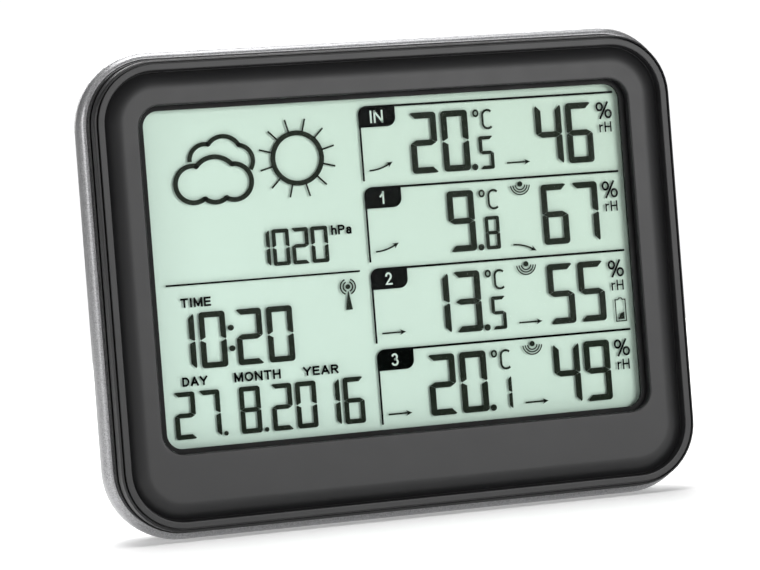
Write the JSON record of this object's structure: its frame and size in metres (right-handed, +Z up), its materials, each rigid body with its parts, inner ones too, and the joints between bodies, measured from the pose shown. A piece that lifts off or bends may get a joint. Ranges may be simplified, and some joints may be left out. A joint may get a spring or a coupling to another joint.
{
  "type": "home weather station",
  "caption": "Home weather station: charcoal bezel round a segment display, silver pillow-shaped rear cover, fold-out stand, battery door and rear buttons.",
  "frame": {"origin": "centre of the bounding box's bottom face: the middle of the base that the station stands on", "axes": "+X to the right as seen from the front, +Y backwards from the display, +Z up"},
  "size_m": [0.14, 0.026, 0.1085],
  "materials": {
    "charcoal_plastic": "soft-touch charcoal, fine moulded grain",
    "silver_plastic": "silver metallic paint on plastic, satin",
    "black_plastic": "black moulded plastic",
    "display_glass": "clear display glass",
    "reflector_film": "pale mint diffusing film",
    "elastomer": "striped silicone",
    "board": "green solder mask",
    "epoxy": "black epoxy",
    "nickel": "nickel-plated sheet and wire",
    "capacitor_sleeve": "dark blue shrink sleeve",
    "copper_wire": "enamelled copper wire",
    "ferrite": "sintered ferrite",
    "white_plastic": "natural nylon",
    "cell_jacket": "copper and black printed jacket, no lettering",
    "lead_jacket": "red lead jacket",
    "screw_steel": "nickel-plated steel",
    "foot_rubber": "black rubber"
  },
  "bodies": {
    "root": {"front_bezel": "charcoal_plastic", "display_frame": "black_plastic", "display_front_glass": "display_glass", "display_rear_glass": "display_glass", "display_reflector": "reflector_film", "elastomer_connector": "elastomer", "main_board": "board", "processor_blob": "epoxy", "clock_crystal": "nickel", "board_capacitors": "capacitor_sleeve", "voltage_regulator": "epoxy", "receiver_module": "board", "receiver_antenna": "copper_wire", "time_antenna_rod": "ferrite", "time_antenna_coil": "copper_wire", "time_antenna_holder": "white_plastic", "humidity_sensor": "white_plastic", "pressure_sensor": "nickel", "button_board": "board", "tact_switches": "black_plastic", "button_ribbon": "white_plastic", "rear_cover": "silver_plastic", "battery_upper": "cell_jacket", "battery_lower": "cell_jacket", "contact_springs": "nickel", "contact_plates": "nickel", "battery_leads": "lead_jacket", "case_screws": "screw_steel", "board_screws": "screw_steel", "button_board_screws": "screw_steel"},
    "battery_door": {"battery_door": "silver_plastic"},
    "stand": {"stand": "silver_plastic", "stand_foot": "foot_rubber"},
    "button_mode": {"button_mode": "charcoal_plastic"},
    "button_set": {"button_set": "charcoal_plastic"},
    "button_up": {"button_up": "charcoal_plastic"},
    "button_down": {"button_down": "charcoal_plastic"},
    "button_channel": {"button_channel": "charcoal_plastic"}
  },
  "joints": [
    {"name": "stand_hinge", "type": "hinge", "parent": "root", "child": "stand", "pos_m": [0, 0.0109, 0.041], "axis": [1, 0, 0], "range_deg": [0, 40]},
    {"name": "battery_door_hinge", "type": "hinge", "parent": "root", "child": "battery_door", "pos_m": [0, 0.0119, 0.0474], "axis": [-1, 0, 0], "range_deg": [0, 75]},
    {"name": "button_mode_press", "type": "slide", "parent": "root", "child": "button_mode", "axis": [0, -1, 0], "range_m": [0, 0.0008], "stiffness_N_per_m": 400},
    {"name": "button_set_press", "type": "slide", "parent": "root", "child": "button_set", "axis": [0, -1, 0], "range_m": [0, 0.0008], "stiffness_N_per_m": 400},
    {"name": "button_up_press", "type": "slide", "parent": "root", "child": "button_up", "axis": [0, -1, 0], "range_m": [0, 0.0008], "stiffness_N_per_m": 400},
    {"name": "button_down_press", "type": "slide", "parent": "root", "child": "button_down", "axis": [0, -1, 0], "range_m": [0, 0.0008], "stiffness_N_per_m": 400},
    {"name": "button_channel_press", "type": "slide", "parent": "root", "child": "button_channel", "axis": [0, -1, 0], "range_m": [0, 0.0008], "stiffness_N_per_m": 400}
  ]
}
